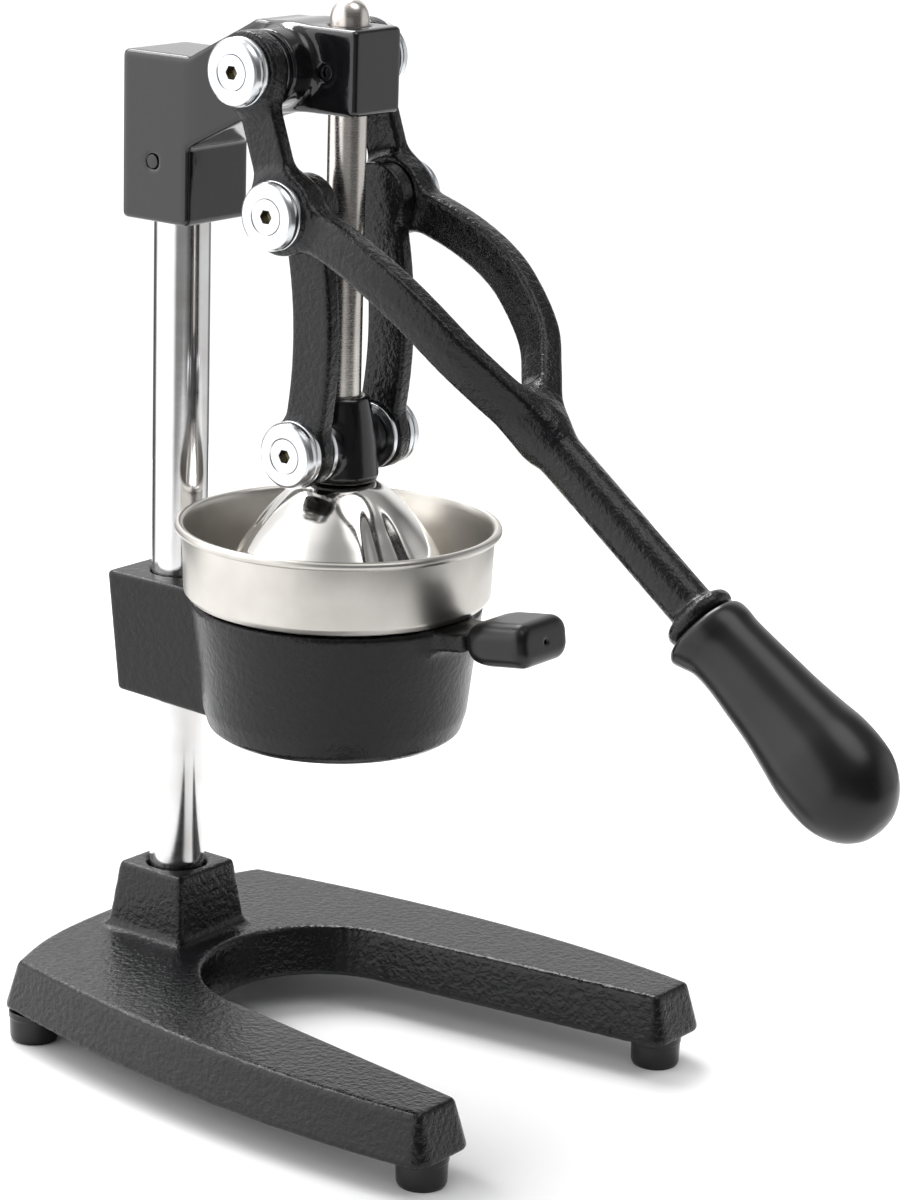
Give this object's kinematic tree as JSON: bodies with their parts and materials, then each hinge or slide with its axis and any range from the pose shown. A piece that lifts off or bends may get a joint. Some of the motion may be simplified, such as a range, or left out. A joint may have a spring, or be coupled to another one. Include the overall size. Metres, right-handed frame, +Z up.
{
  "type": "citrus press juicer",
  "caption": "Lever-operated citrus press: cast forked base, plated column, ram with a lobed steel bell over a strainer bowl, and a forked lever with a rubber grip.",
  "frame": {"origin": "on the surface the press stands on, under the middle of its outer box at rest", "axes": "+Z up, -Y towards the operator and the lever grip, +X to the operator's right"},
  "size_m": [0.195, 0.372, 0.4197],
  "materials": {
    "enamel": "glossy black enamel over a coarse casting",
    "gloss": "smooth gloss black paint",
    "satin": "satin black paint over a fine sand-cast skin",
    "rubber": "matte black rubber",
    "chrome": "bright plated steel",
    "brushed": "stainless steel brushed around the bowl",
    "polished": "polished stainless steel",
    "zinc": "bright zinc plate with fine turning marks",
    "brass": "oiled bearing brass"
  },
  "bodies": {
    "frame": {"base_casting": "enamel", "foot_front_left": "rubber", "foot_screw_front_left": "zinc", "foot_front_right": "rubber", "foot_screw_front_right": "zinc", "foot_rear_left": "rubber", "foot_screw_rear_left": "zinc", "foot_rear_right": "rubber", "foot_screw_rear_right": "zinc", "column": "chrome", "column_bolt": "zinc", "column_washer": "zinc", "head_casting": "gloss", "head_pin": "gloss", "guide_bush": "brass", "bush_screw": "zinc", "holder_casting": "satin", "holder_screw": "zinc", "tab_grip": "rubber", "strainer_bowl": "brushed", "strainer_cone": "brushed", "cross_axle": "zinc", "spacer_ring_left": "zinc", "axle_cap_left": "zinc", "axle_cap_screw_left": "zinc", "spacer_ring_right": "zinc", "axle_cap_right": "zinc", "axle_cap_screw_right": "zinc"},
    "lever": {"lever_casting": "enamel", "lever_grip": "rubber", "elbow_pin_left": "zinc", "elbow_cap_left": "zinc", "elbow_cap_screw_left": "zinc", "elbow_pin_right": "zinc", "elbow_cap_right": "zinc", "elbow_cap_screw_right": "zinc"},
    "links": {"connecting_link_left": "enamel", "connecting_link_right": "enamel", "yoke_pin_left": "zinc", "yoke_cap_left": "zinc", "yoke_cap_screw_left": "zinc", "yoke_pin_right": "zinc", "yoke_cap_right": "zinc", "yoke_cap_screw_right": "zinc"},
    "ram": {"ram_rod": "chrome", "yoke": "gloss", "yoke_screw": "zinc", "press_bell": "polished", "bell_screw": "zinc", "yoke_washer_left": "zinc", "yoke_washer_right": "zinc"}
  },
  "joints": [
    {"name": "lever_pivot", "type": "hinge", "parent": "frame", "child": "lever", "pos_m": [0, 0.08495, 0.3937], "axis": [-1, 0, 0], "range_deg": [0, 95]},
    {"name": "link_pivot", "type": "hinge", "parent": "lever", "child": "links", "pos_m": [0, 0.06735, 0.34244], "axis": [1, 0, 0], "range_deg": [0, 115.22]},
    {"name": "ram_slide", "type": "slide", "parent": "frame", "child": "ram", "axis": [0, 0, 1], "range_m": [0, 0.07845]}
  ],
  "couplings": [
    {"joint": "link_pivot", "follows": "lever_pivot", "ratio": 1.2127},
    {"joint": "ram_slide", "follows": "lever_pivot", "m_per_rad": 0.047307}
  ]
}
